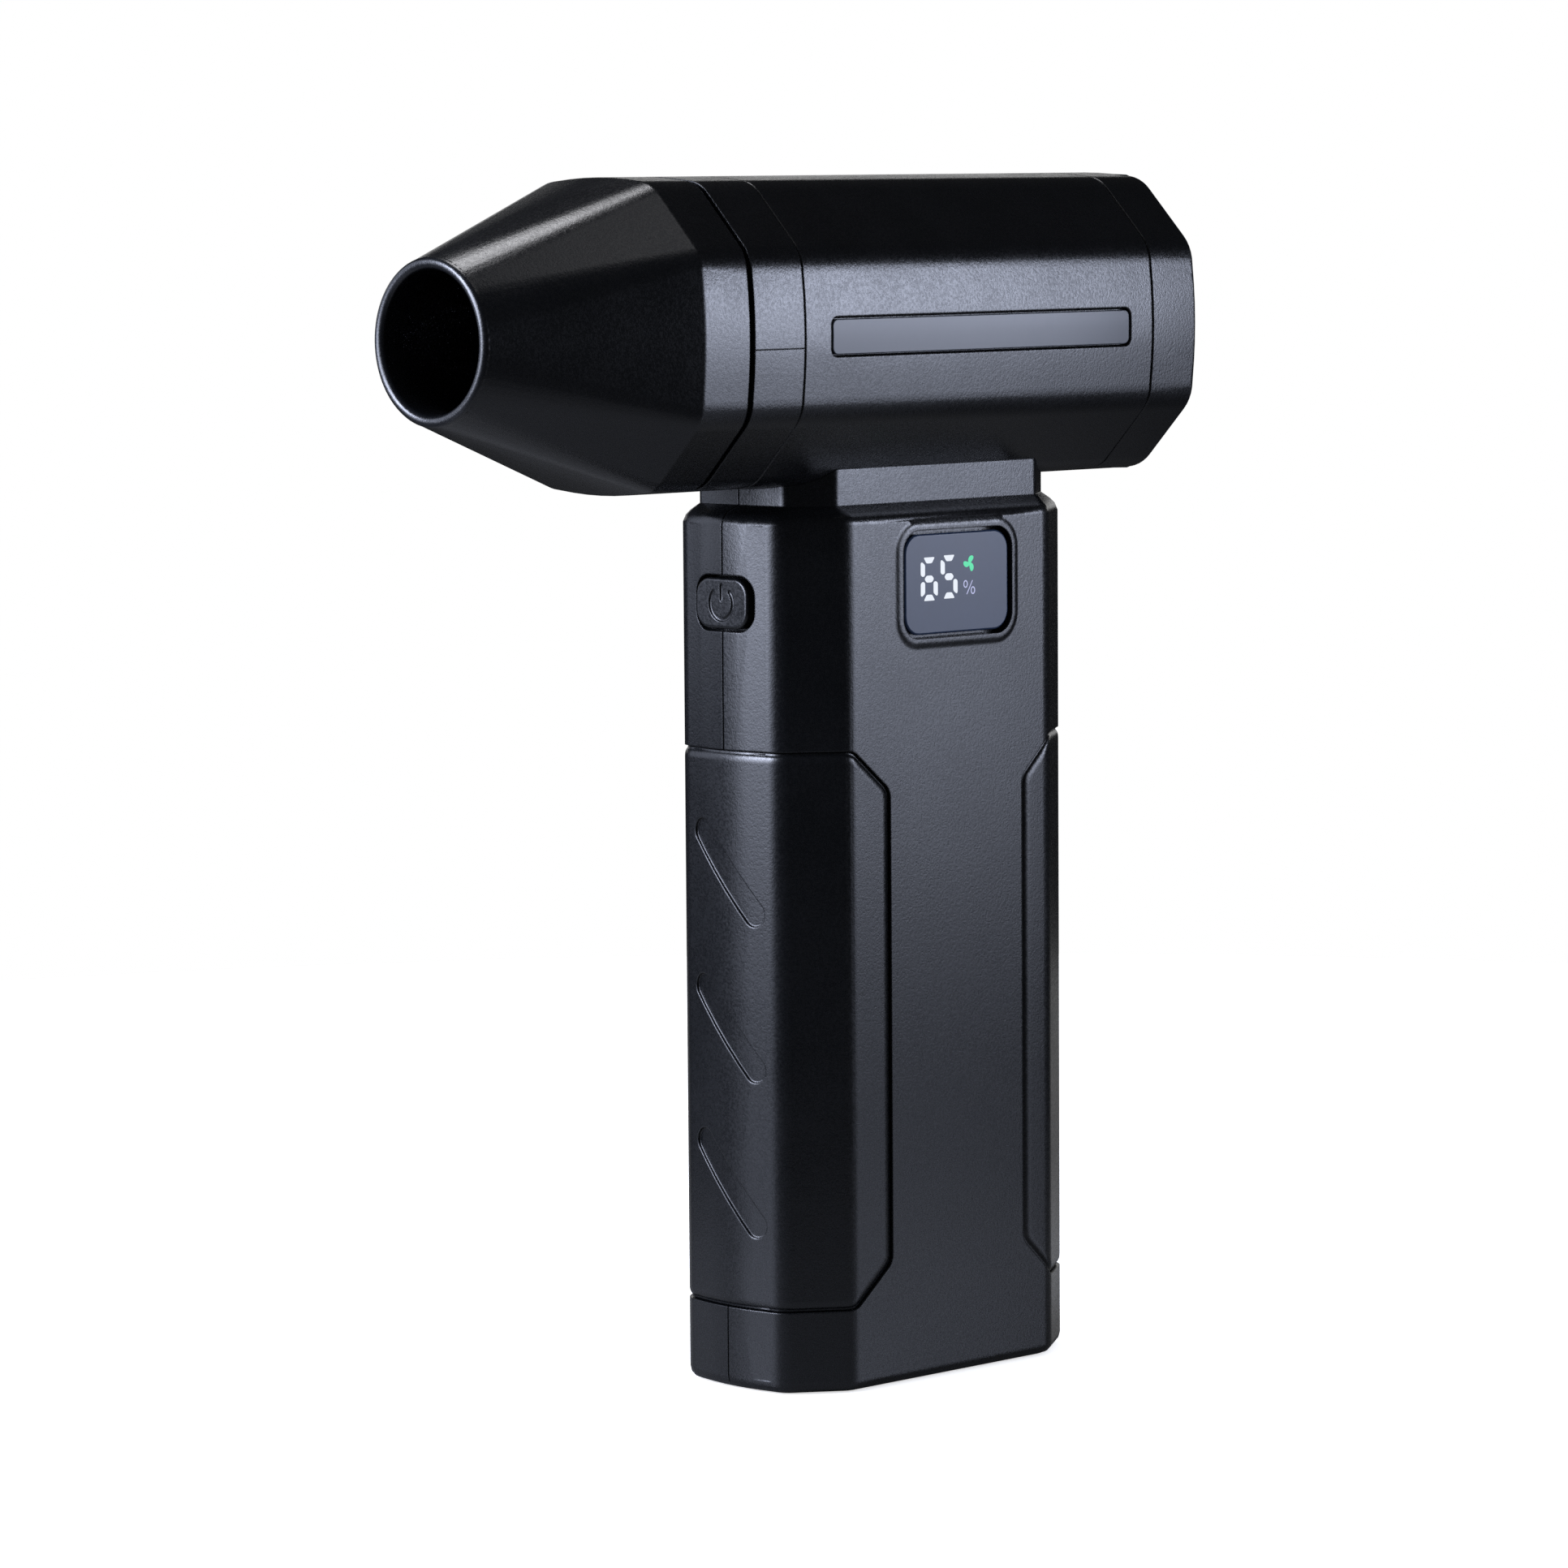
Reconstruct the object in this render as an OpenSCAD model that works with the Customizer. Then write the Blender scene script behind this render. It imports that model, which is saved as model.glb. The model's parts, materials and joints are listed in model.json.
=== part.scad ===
// Handheld cordless turbine blower for drying cars: octagonal head, pull-off cone nozzle, battery handle.
// Millimetres. Origin at the centre of the flat base, +Z up, the nozzle blows towards -Y,
// the display is on the +X side.

/* [Head] */
// Height of the head's axis above the base
axis_z = 175.05; // [170:0.05:190]
// Width of the head between the corners of its side faces
head_w = 49.3; // [49:0.1:52]
// Height of the head between the corners of its top and bottom faces
head_h = 49.9; // [49.5:0.1:52]
// Width of the head's flat top and bottom faces
head_top_flat = 25.2; // [23:0.1:27]
// Height of the head's flat side faces
head_side_flat = 25.6; // [23:0.1:27]
// Radius that rounds the head's long edges
head_round = 7; // [3:0.5:8]
// How far the top, bottom and side faces of the head bulge in the middle
head_crown = 0.6; // [0.1:0.1:1]
// Length of the head shell in front of the handle's middle plane
head_front = 40.1; // [38:0.1:44]
// Length of the head shell behind the handle's middle plane
head_rear = 42.1; // [40:0.1:46]
// Depth of the rear intake cover
cover_depth = 11.2; // [9:0.1:13]
// Wall thickness of the head shell
head_wall = 2; // [1.8:0.1:2.2]

/* [Nozzle] */
// Length of the collar ring between head shell and nozzle
collar_len = 11.1; // [10:0.1:12]
// Width of the open joint between collar and nozzle
nozzle_gap = 0.9; // [0.6:0.1:1.2]
// Length of the nozzle's straight octagonal skirt
skirt_len = 9.9; // [9.5:0.1:12]
// Length of the nozzle's tapered cone, to the tip
cone_len = 36.1; // [32:0.1:44]
// Outer radius of the nozzle's rim
rim_r = 13.5; // [13.2:0.1:15]
// Radius of the round outlet
outlet_r = 11.5; // [10.5:0.1:11.8]
// Length of the outlet's straight throat
throat_len = 6; // [5:0.5:8]
// How far the nozzle slides off the collar before it is free
nozzle_travel = 20; // [12:1:30]

/* [Handle] */
// Thickness of the handle, side to side
handle_w = 36.4; // [36:0.1:40]
// Depth of the handle, front to back
handle_d = 70; // [70:0.5:76]
// Height of the handle's straight walls
handle_h = 144.5; // [144:0.5:150]
// Width of the handle's front and rear faces
front_flat = 22; // [20:0.2:24]
// Depth of the handle's flat side faces
side_flat = 47.2; // [44:0.2:50]
// Radius that rounds the handle's upright edges
handle_round = 5; // [3:0.5:6]
// How far the front and rear faces bulge in the middle
handle_crown = 1; // [0.2:0.1:1.2]
// Wall thickness of the handle shells, under the grip panels as well
handle_wall = 2.6; // [2.4:0.1:2.6]
// Thickness of the neck between handle and head
neck_w = 30.6; // [29:0.1:31]
// Depth of the neck
neck_d = 62.2; // [58:0.1:64]

/* [Grip panels] */
// Height of the panels' lower edge above the base
grip_bottom = 13.6; // [12:0.1:16]
// Height of the panels' upper edge above the base
grip_top = 106.6; // [104:0.1:108]
// Distance of the front panel's side edge from the handle's middle plane
grip_front_edge = 14.3; // [13:0.1:16]
// Distance of the rear panel's side edge from the handle's middle plane
grip_rear_edge = 16.9; // [14:0.1:18]
// Depth of the panels' recess in the shells
grip_depth = 1.3; // [1.2:0.1:1.4]
// Width of the open joint round each panel
grip_joint = 0.15; // [0.1:0.05:0.6]
// Width of the flat rim along each panel's edge
grip_rim = 0.4; // [0.2:0.1:1]
// Width of the rounded bevel between that rim and the panel's face
grip_bevel = 1.4; // [1:0.1:2.4]
// Depth of the rim below the panel's face
grip_bevel_depth = 0.5; // [0.3:0.1:0.8]
// Number of finger recesses in the front panel
slot_count = 3; // [2:1:4]
// Upward step from one finger recess to the next
slot_pitch = 25.9; // [22:0.1:28]
// Angle of the finger recesses below the horizontal
slot_angle = 47.4; // [30:0.2:60]
// Length of a finger recess between the centres of its round ends
slot_len = 17.7; // [14:0.1:20]
// Radius of a finger recess's round ends
slot_r = 2.1; // [1.5:0.1:2.5]
// Depth of a finger recess
slot_depth = 0.45; // [0.3:0.05:0.6]

/* [Controls] */
// Height of the display's centre above the base
display_z = 133.1; // [130:0.1:134]
// Width of the display's window
display_w = 24.5; // [22:0.1:26]
// Height of the display's window
display_h = 16.7; // [15:0.1:18]
// Height of the power button's centre above the base
button_z = 130.7; // [126:0.1:132]
// Width of the power button's cap
button_w = 12.2; // [12:0.1:14]
// Height of the power button's cap
button_h = 8.3; // [8:0.1:10]
// How far the power button is pushed in
button_travel = 0.8; // [0.5:0.1:0.8]

/* [Fan] */
// Radius of the duct's bore
duct_r = 18.4; // [18:0.1:18.6]
// Number of impeller blades
blade_count = 11; // [7:2:13]
// Number of guide vanes
vane_count = 9; // [7:1:10]

/* [Battery] */
// Radius of one battery cell
cell_r = 10.6; // [10.5:0.05:10.6]
// Length of one battery cell
cell_len = 70; // [69:0.5:70]
// Number of cells, side by side
cell_count = 3; // [2:1:3]

/* [Hidden] */
$fn = 64;
// Turn of one step round a corner, in degrees, and steps across a bulging face
CORNER_TURN = 9;
CROWN_STEPS = 6;
// Overshoot that carries a cut clear through a face
CUT = 0.5;
// Clearance of pieces that sit in one another without moving
SEAT = 0.05;
// Thickness of the thin slices that hull() joins
SLICE = 0.02;
shell_dark = "#26282c";
trim_dark = "#1d1e21";
metal_grey = "#9aa0a6";

// Places along the head's axis, forwards from the handle's middle plane
seam = 0.1;
shell_f0 = -head_rear + seam;
shell_f1 = head_front - seam;
collar_f0 = head_front + seam;
collar_f1 = head_front + collar_len;
nozzle_f0 = collar_f1 + nozzle_gap;
cone_f0 = nozzle_f0 + skirt_len;
nozzle_f1 = cone_f0 + cone_len;
cover_f0 = -head_rear - cover_depth;
cover_f1 = -head_rear - seam;

// The round joint that the nozzle slides on
spigot_r = 22.3;
spigot_clearance = 0.06;
spigot_bore_r = 20.4;
spigot_len = 8.8;
seal_f = collar_f1 + 5;
seal_r = 0.8;

// Fan pieces along the axis
duct_f0 = -38;
duct_f1 = 37;
duct_wall = 1.2;
vane_f0 = -12;
vane_f1 = -2;
impeller_f0 = -30;
impeller_f1 = -17;
pot_f0 = -15;
pot_f1 = 14;
pot_r = 11;
pot_wall = 1;
shaft_r = 1.5;
bearing_r = 4;
bearing_len = 3;
bearing_f = [-13.5, 12.4];
gasket_len = 5;
gasket_f = [-24, 24];

// Handle outline and its inner pieces
side_x = handle_w / 2;
front_y = -handle_d / 2;
cavity_z0 = 2.6;
cavity_z1 = handle_h - 2.5;
neck_z0 = handle_h + 2.2;
neck_z1 = axis_z - head_h / 2 + 6;
neck_wall = 2.2;
plate_t = 2;
cell_z0 = 24;
cell_z1 = cell_z0 + cell_len;
cell_pitch = 2 * cell_r + 0.1;
screw_y = 27;
screw_z = [18.4, 101.4];
port_z = 7;
port_w = 9;
port_h = 3.3;
display_y = 1.45;
board_t = 1.6;
lens_t = 2;
lens_joint = 0.63;
bezel_proud = 0.45;
bezel_flat = 0.55;
bezel_slope = 1.35;

// ---- Outlines ----

function unit(v) = v / norm(v);

// Corners of an eight-sided outline, anticlockwise from the lower end of its right side
function octagon(w, h, top_flat, side_flat) = [
    [w / 2, -side_flat / 2], [w / 2, side_flat / 2], [top_flat / 2, h / 2], [-top_flat / 2, h / 2],
    [-w / 2, side_flat / 2], [-w / 2, -side_flat / 2], [-top_flat / 2, -h / 2], [top_flat / 2, -h / 2]
];

// Unit vectors from corner i towards the corners before and after it
function to_last(pts, i) = unit(pts[(i + len(pts) - 1) % len(pts)] - pts[i]);
function to_next(pts, i) = unit(pts[(i + 1) % len(pts)] - pts[i]);

// A convex outline with every edge moved inwards by t
function inset(pts, t) = [
    for (i = [0:len(pts) - 1])
        let (u = to_last(pts, i), v = to_next(pts, i))
            pts[i] + unit(u + v) * 2 * t / norm(u - v)
];

// Arc of radius r that rounds corner i
function corner_arc(pts, i, r) =
    let (u = to_last(pts, i), v = to_next(pts, i), half = asin(norm(u - v) / 2))
    let (centre = pts[i] + unit(u + v) * r / sin(half))
    let (start = pts[i] + u * r / tan(half) - centre, sweep = 180 - 2 * half, steps = ceil(sweep / CORNER_TURN))
    [
        for (k = [0:steps])
            let (a = atan2(start.y, start.x) + sweep * k / steps)
                centre + r * [cos(a), sin(a)]
    ];

// Points between a and b on a shallow bulge of the given height
function crown_arc(a, b, height) = height <= 0 ? [] : [
    for (k = [1:CROWN_STEPS - 1])
        let (s = k / CROWN_STEPS, d = unit(b - a))
            a + (b - a) * s + [d.y, -d.x] * height * 4 * s * (1 - s)
];

// A convex outline with rounded corners and a bulge on each face that has a crown
function rounded(pts, r, crowns) =
    let (arcs = [for (i = [0:len(pts) - 1]) corner_arc(pts, i, r)])
    [
        for (i = [0:len(pts) - 1]) each concat(
            arcs[i], crown_arc(arcs[i][len(arcs[i]) - 1], arcs[(i + 1) % len(pts)][0], crowns[i])
        )
    ];

head_corners = octagon(head_w, head_h, head_top_flat, head_side_flat);
head_crowns = [for (i = [0:7]) i % 2 == 0 ? head_crown : 0];
handle_corners = octagon(handle_w, handle_d - 2 * handle_crown, front_flat, side_flat);
handle_crowns = [0, 0, handle_crown, 0, 0, 0, handle_crown, 0];
neck_corners = octagon(neck_w, neck_d - handle_crown, front_flat - 2, side_flat);
neck_crowns = handle_crowns / 2;

module head_outline(t = 0) {
    polygon(rounded(inset(head_corners, t), max(head_round - t, 0.6), head_crowns));
}

module handle_outline(t = 0) {
    polygon(rounded(inset(handle_corners, t), max(handle_round - t, 0.6), handle_crowns));
}

module neck_outline(t = 0) {
    polygon(rounded(inset(neck_corners, t), max(2 - t, 0.5), neck_crowns));
}

module rounded_rect(w, h, r) {
    polygon(rounded([[w, -h] / 2, [w, h] / 2, [-w, h] / 2, [-w, -h] / 2], r, [0, 0, 0, 0]));
}

// ---- Placing ----

// Local +Z runs forwards along the head's axis, +Y up
module head_frame() {
    translate([0, 0, axis_z]) rotate([90, 0, 0]) children();
}

// The head's outline from f0 to f1 along its axis, moved inwards by t
module head_bar(f0, f1, t = 0) {
    translate([0, 0, f0]) linear_extrude(f1 - f0) head_outline(t);
}

// The handle's outline from z0 to z1, moved inwards by t
module handle_bar(z0, z1, t = 0) {
    translate([0, 0, z0]) linear_extrude(z1 - z0) handle_outline(t);
}

// A shape drawn in (y, z), extruded along X from x0 to x1
module across(x0, x1) {
    translate([x0, 0, 0]) rotate([90, 0, 90]) linear_extrude(x1 - x0) children();
}

// A shape drawn in (x, z), extruded along Y from y0 to y1
module along(y0, y1) {
    translate([0, y1, 0]) rotate([90, 0, 0]) linear_extrude(y1 - y0) children();
}

// A screw along +Z from its head at 0: head, then shank
module screw(head_r, head_t, shank_r, shank_len) {
    cylinder(r = head_r, h = head_t);
    translate([0, 0, head_t]) cylinder(r = shank_r, h = shank_len);
}

// Children at the four corners of a rectangle
module at_corners(x, y) {
    for (sx = [-1, 1], sy = [-1, 1]) translate([sx * x, sy * y, 0]) children();
}

// ---- Nozzle ----

// Radius and place of points round the lip, from its inner to its outer edge
lip_r = (rim_r - outlet_r) / 2;
lip_points = [
    for (k = [0:8])
        let (a = 180 - 180 * k / 8)
            [(rim_r + outlet_r) / 2 + lip_r * cos(a), nozzle_f1 - lip_r + lip_r * sin(a)]
];
funnel_points = [
    [0, nozzle_f0 - CUT], [spigot_r + spigot_clearance, nozzle_f0 - CUT],
    [spigot_r + spigot_clearance, collar_f1 + spigot_len + 0.6],
    [spigot_r - 0.5, collar_f1 + spigot_len + 1.4],
    [outlet_r, nozzle_f1 - throat_len], [outlet_r, nozzle_f1 + CUT], [0, nozzle_f1 + CUT]
];

// The skirt's edge is eased into the cone over this length on either side
cone_ease = 1.5;
ease_inset = cone_ease * (head_w / 2 + head_crown - rim_r) / (cone_len - 2 * lip_r);

module nozzle() color(shell_dark) head_frame() difference() {
    union() {
        head_bar(nozzle_f0, cone_f0 - cone_ease);
        hull() {
            head_bar(cone_f0 - cone_ease - SLICE, cone_f0 - cone_ease);
            head_bar(cone_f0 + cone_ease, cone_f0 + cone_ease + SLICE, ease_inset);
        }
        hull() {
            head_bar(cone_f0 + cone_ease, cone_f0 + cone_ease + SLICE, ease_inset);
            translate([0, 0, nozzle_f1 - 2 * lip_r]) cylinder(r = rim_r, h = lip_r);
        }
        rotate_extrude() polygon(concat(
            [[outlet_r - CUT, nozzle_f1 - lip_r - 0.2]], [[outlet_r - CUT, nozzle_f1 - lip_r]],
            lip_points, [[rim_r, nozzle_f1 - lip_r - 0.2]]
        ));
    }
    rotate_extrude() polygon(funnel_points);
}

module nozzle_seal() color("#111111") head_frame() translate([0, 0, seal_f])
    rotate_extrude() translate([spigot_r - seal_r - 0.01, 0]) circle(r = seal_r);

// ---- Collar ----

collar_screw_at = [head_w / 2 - 2.85, head_side_flat / 2 - 1.5];
collar_split = -2;

module collar_ring() difference() {
    union() {
        head_bar(collar_f0, collar_f1);
        head_bar(shell_f1 - 2, collar_f0, head_wall + SEAT);
        cylinder(r = spigot_r, h = collar_f1 + spigot_len);
    }
    translate([0, 0, -1]) cylinder(r = spigot_bore_r, h = collar_f1 + spigot_len + 2);
    translate([0, 0, -1]) cylinder(r = spigot_r + CUT, h = shell_f1 - 1);
    translate([0, 0, seal_f]) rotate_extrude()
        translate([spigot_r - seal_r - 0.01, 0]) circle(r = seal_r + SEAT);
    at_corners(collar_screw_at.x, collar_screw_at.y) {
        translate([0, 0, collar_f1 - 1.5]) cylinder(r = 1.75, h = 3);
        translate([0, 0, shell_f1 - 3]) cylinder(r = 1.1, h = collar_len + 4);
    }
}

module collar_upper() color(shell_dark) head_frame() intersection() {
    collar_ring();
    translate([-40, collar_split + 0.02, 30]) cube([80, 60, 60]);
}

module collar_lower() color(shell_dark) head_frame() intersection() {
    collar_ring();
    translate([-40, collar_split - 60.02, 30]) cube([80, 60, 60]);
}

module collar_screws() color(metal_grey) head_frame()
    at_corners(collar_screw_at.x, collar_screw_at.y) translate([0, 0, collar_f1 - 0.2])
        mirror([0, 0, 1]) screw(1.6, 1.25, 0.95, 17);

// ---- Head shell ----

strip_y = 1.27;
strip_z = 174.73;
strip_len = 70.65;
strip_h = 6.35;
strip_recess = 1.3;
strip_joint = 0.32;
strip_below = 0.1;

// The side recess's outline, made smaller by t all round
module strip_outline(t) {
    translate([strip_y, strip_z]) rounded_rect(strip_len - 2 * t, strip_h - 2 * t, 1.3 - t / 2);
}

module duct_rib(f) difference() {
    head_bar(f - 0.6, f + 0.6, head_wall - 0.5);
    translate([0, 0, f - 1]) cylinder(r = duct_r + duct_wall + 0.6, h = 2);
}

module head_shell() color(shell_dark) difference() {
    union() {
        head_frame() {
            difference() {
                head_bar(shell_f0, shell_f1);
                head_bar(shell_f0 - 1, shell_f1 + 1, head_wall);
            }
            for (f = gasket_f, s = [-1, 1]) duct_rib(f + s * (gasket_len / 2 + 0.65));
            intersection() {
                head_bar(shell_f0, shell_f1, head_wall - 0.5);
                at_corners(collar_screw_at.x, collar_screw_at.y)
                    translate([0, 0, shell_f1 - 2.2]) mirror([0, 0, 1]) cylinder(r = 2.3, h = 8);
            }
        }
        at_corners(neck_screw_at.x, neck_screw_at.y)
            translate([0, 0, axis_z - head_h / 2 + 1]) cylinder(r = 2, h = 3.4);
    }
    for (side = [0, 1]) mirror([side, 0, 0])
        across(head_w / 2 + head_crown - strip_recess, head_w) strip_outline(0);
    head_frame() at_corners(collar_screw_at.x, collar_screw_at.y)
        translate([0, 0, shell_f1 - 9]) cylinder(r = 1, h = 10);
    at_corners(neck_screw_at.x, neck_screw_at.y)
        translate([0, 0, axis_z - head_h / 2 - 1]) cylinder(r = 1.2, h = 6);
    translate([-6, -8, axis_z - head_h / 2 - 1]) cube([12, 16, 4]);
}

module side_strip(side) color("#5d6470") mirror([side, 0, 0]) intersection() {
    across(head_w / 2 + head_crown - strip_recess, head_w) strip_outline(strip_joint);
    head_frame() head_bar(-head_rear, head_front, strip_below);
}

module side_strip_right() side_strip(0);
module side_strip_left() side_strip(1);

// ---- Intake ----

grille_r = 20.5;
grille_t = 2;
grille_hub_r = 4;
grille_rings = 4;
grille_ring_w = 1.1;
grille_spokes = 12;
grille_pitch = (grille_r - grille_hub_r) / grille_rings;

// The round opening with its hub, rings and spokes left standing
module grille_gaps() difference() {
    circle(r = grille_r);
    circle(r = grille_hub_r);
    for (k = [1:grille_rings - 1]) difference() {
        circle(r = grille_hub_r + k * grille_pitch + grille_ring_w / 2);
        circle(r = grille_hub_r + k * grille_pitch - grille_ring_w / 2);
    }
    for (k = [0:grille_spokes / 2 - 1]) rotate(k * 360 / grille_spokes)
        square([2 * grille_r + 1, grille_ring_w], center = true);
}

// Distances of the outlines that round the cover's rear edge, and how far each is moved inwards
cover_steps = [[0, 1], [0.13, 0.5], [0.5, 0.13], [1, 0]];

module rear_cover() color(shell_dark) head_frame() difference() {
    union() {
        head_bar(cover_f0 + cover_steps[3][0], cover_f1);
        hull() {
            for (step = cover_steps) head_bar(cover_f0 + step[0], cover_f0 + step[0] + SLICE, step[1]);
        }
        difference() {
            head_bar(cover_f1, shell_f0 + 2, head_wall + SEAT);
            head_bar(cover_f1 - 1, shell_f0 + 3, head_wall + 1.5);
        }
    }
    head_bar(cover_f0 + grille_t, cover_f1 + CUT, head_wall + 1.5);
    translate([0, 0, cover_f0 - 1]) linear_extrude(grille_t + 2) grille_gaps();
}

screen_hole_r = 0.9;
screen_pitch = 2.6;

module intake_screen() color(metal_grey) head_frame()
    translate([0, 0, cover_f0 + grille_t + 0.1]) linear_extrude(0.6) difference() {
        circle(r = grille_r + 0.3);
        for (ring = [1:7]) for (k = [0:6 * ring - 1]) rotate(k * 60 / ring)
            translate([ring * screen_pitch, 0]) circle(r = screen_hole_r, $fn = 6);
    }

// ---- Fan and motor ----

duct_points = [
    [duct_r, duct_f1], [duct_r + duct_wall, duct_f1], [duct_r + duct_wall, duct_f0 + 6],
    [duct_r + 2.6, duct_f0 + 1.5], [duct_r + 3, duct_f0], [duct_r + 1.8, duct_f0],
    [duct_r + 1.1, duct_f0 + 1.8], [duct_r + 0.3, duct_f0 + 4.2], [duct_r, duct_f0 + 6.5]
];

module fan_duct() color("#3a3c40") head_frame() rotate_extrude() polygon(duct_points);

module duct_gasket(f) color("#151515") head_frame() difference() {
    head_bar(f - gasket_len / 2, f + gasket_len / 2, head_wall + SEAT);
    translate([0, 0, f - gasket_len]) cylinder(r = duct_r + duct_wall, h = 2 * gasket_len);
}

module duct_gasket_rear() duct_gasket(gasket_f[0]);
module duct_gasket_front() duct_gasket(gasket_f[1]);

// Six points round a thin cambered section: along the chord, then across it
function foil(chord, thick, camber) = [
    [-chord / 2, 0], [-chord / 6, camber - thick / 2], [chord / 4, 0.8 * camber - thick / 2],
    [chord / 2, 0], [chord / 4, 0.8 * camber + thick / 2], [-chord / 6, camber + thick / 2]
];

// A foil turned by the blade angle and wrapped round the axis at radius r
function foil_ring(r, angle, f, chord, thick, camber) = [
    for (p = foil(chord, thick, camber))
        let (around = p.x * sin(angle) + p.y * cos(angle), ahead = p.x * cos(angle) - p.y * sin(angle))
        let (a = around / r * 180 / PI)
            [r * cos(a), r * sin(a), f + ahead]
];

// A twisted blade from radius r0 to r1, its angle to the axis changing from a0 to a1
module blade(r0, r1, a0, a1, f, chord, thick, camber, stations = 5) {
    points = [
        for (j = [0:stations - 1])
            let (s = j / (stations - 1))
                each foil_ring(r0 + (r1 - r0) * s, a0 + (a1 - a0) * s, f, chord, thick * (1 - s / 2), camber)
    ];
    last = 6 * (stations - 1);
    walls = [
        for (j = [0:stations - 2], k = [0:5])
            let (a = 6 * j + k, b = 6 * j + (k + 1) % 6)
                each [[a, b, a + 6], [b, b + 6, a + 6]]
    ];
    ends = [for (k = [1:4]) each [[0, k + 1, k], [last, last + k, last + k + 1]]];
    polyhedron(points, concat(walls, ends), convexity = 4);
}

module impeller() color("#c9ccd0") head_frame() difference() {
    union() {
        rotate_extrude() polygon([
            [0, impeller_f0 + 0.5], [4, impeller_f0 + 0.5], [6.4, impeller_f0 + 1.6], [8.6, impeller_f0 + 4.4],
            [10.2, impeller_f0 + 8.4], [10.9, impeller_f1], [0, impeller_f1]
        ]);
        for (k = [0:blade_count - 1]) rotate(k * 360 / blade_count)
            blade(7.5, duct_r - 0.4, 40, 62, impeller_f0 + 7.2, 13, 1.3, 1.2);
    }
    translate([0, 0, impeller_f0 - 12]) cylinder(r = 40, h = 12.5);
    translate([0, 0, impeller_f1]) cylinder(r = 40, h = 5);
    translate([0, 0, impeller_f0 - 1]) cylinder(r = shaft_r, h = 20);
}

module impeller_nut() color("#b08d3a") head_frame() difference() {
    translate([0, 0, impeller_f0 - 2.4]) cylinder(r = 3.2, h = 2.8, $fn = 6);
    translate([0, 0, impeller_f0 - 3]) cylinder(r = shaft_r, h = 5);
}

module stator_vanes() color("#55585d") head_frame() difference() {
    union() {
        translate([0, 0, pot_f0]) cylinder(r = pot_r, h = pot_f1 - pot_f0);
        intersection() {
            for (k = [0:vane_count - 1]) rotate(k * 360 / vane_count)
                blade(pot_r - 0.5, duct_r + 1, -18, -14, (vane_f0 + vane_f1) / 2, 10, 1.3, -1.2);
            translate([0, 0, vane_f0 - 2]) cylinder(r = duct_r - 0.3, h = vane_f1 - vane_f0 + 4);
        }
        difference() {
            translate([0, 0, vane_f0]) cylinder(r = duct_r - SEAT, h = vane_f1 - vane_f0);
            translate([0, 0, vane_f0 - 1]) cylinder(r = duct_r - 0.8, h = vane_f1 - vane_f0 + 2);
        }
    }
    translate([0, 0, pot_f0 + 3.2]) cylinder(r = pot_r - pot_wall, h = pot_f1 - pot_f0);
    translate([0, 0, pot_f0 - 1]) cylinder(r = bearing_r, h = 8);
}

magnet_r = 5.2;
stator_bore_r = 5.7;

module motor_stator() color("#8a4b22") head_frame() difference() {
    translate([0, 0, -7]) cylinder(r = pot_r - pot_wall - SEAT, h = 14);
    translate([0, 0, -8]) cylinder(r = stator_bore_r, h = 16);
    for (k = [0:5]) rotate(k * 60) translate([stator_bore_r + 1, -0.6, -8]) cube([2.2, 1.2, 16]);
}

module motor_cap() color("#55585d") head_frame() difference() {
    translate([0, 0, pot_f1 - 3.2]) cylinder(r = pot_r - pot_wall - SEAT, h = 3);
    translate([0, 0, pot_f1 - 4]) cylinder(r = bearing_r, h = 8);
}

module motor_bearings() color(metal_grey) head_frame() for (f = bearing_f) difference() {
    translate([0, 0, f - bearing_len / 2]) cylinder(r = bearing_r - 0.02, h = bearing_len);
    translate([0, 0, f - bearing_len]) cylinder(r = shaft_r + SEAT, h = 2 * bearing_len);
}

module motor_rotor() color("#77797d") head_frame() difference() {
    translate([0, 0, -7]) cylinder(r = magnet_r, h = 14);
    translate([0, 0, -8]) cylinder(r = shaft_r, h = 16);
}

module motor_shaft() color("#c8ccd0") head_frame()
    translate([0, 0, impeller_f0 - 2.4]) cylinder(r = shaft_r, h = bearing_f[1] + 2 - impeller_f0 + 2.4);

module tail_cone() color("#3a3c40") head_frame() rotate_extrude() polygon([
    [0, pot_f1 + 20], [1.6, pot_f1 + 19.4], [5.2, pot_f1 + 14], [8.6, pot_f1 + 7.5], [10.5, pot_f1 + 2.4],
    [11, pot_f1 + 0.1], [9.8, pot_f1 + 0.1], [8.4, pot_f1 + 4.4], [4, pot_f1 + 12.5], [0, pot_f1 + 17]
]);

// ---- Handle ----

neck_screw_at = [7, 19];
// Heights of the outlines that round the foot and the shoulder, and how far each is moved inwards
foot_steps = [[0, 1.7], [0.35, 0.8], [1, 0.25], [2, 0]];
shoulder_steps = [[handle_h - 0.9, 0], [handle_h + 0.3, 0.5], [handle_h + 1.1, 1.3]];

// Outside of handle and neck, with a rounded foot and a rounded shoulder
module handle_body() {
    hull() {
        for (step = foot_steps) handle_bar(step[0], step[0] + SLICE, step[1]);
    }
    handle_bar(foot_steps[3][0], handle_h - 0.9);
    hull() {
        for (step = shoulder_steps) handle_bar(step[0], step[0] + SLICE, step[1]);
        translate([0, 0, neck_z0]) linear_extrude(SLICE) neck_outline();
    }
    translate([0, 0, neck_z0 - 0.5]) linear_extrude(neck_z1 - neck_z0 + 0.5) neck_outline();
}

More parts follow.
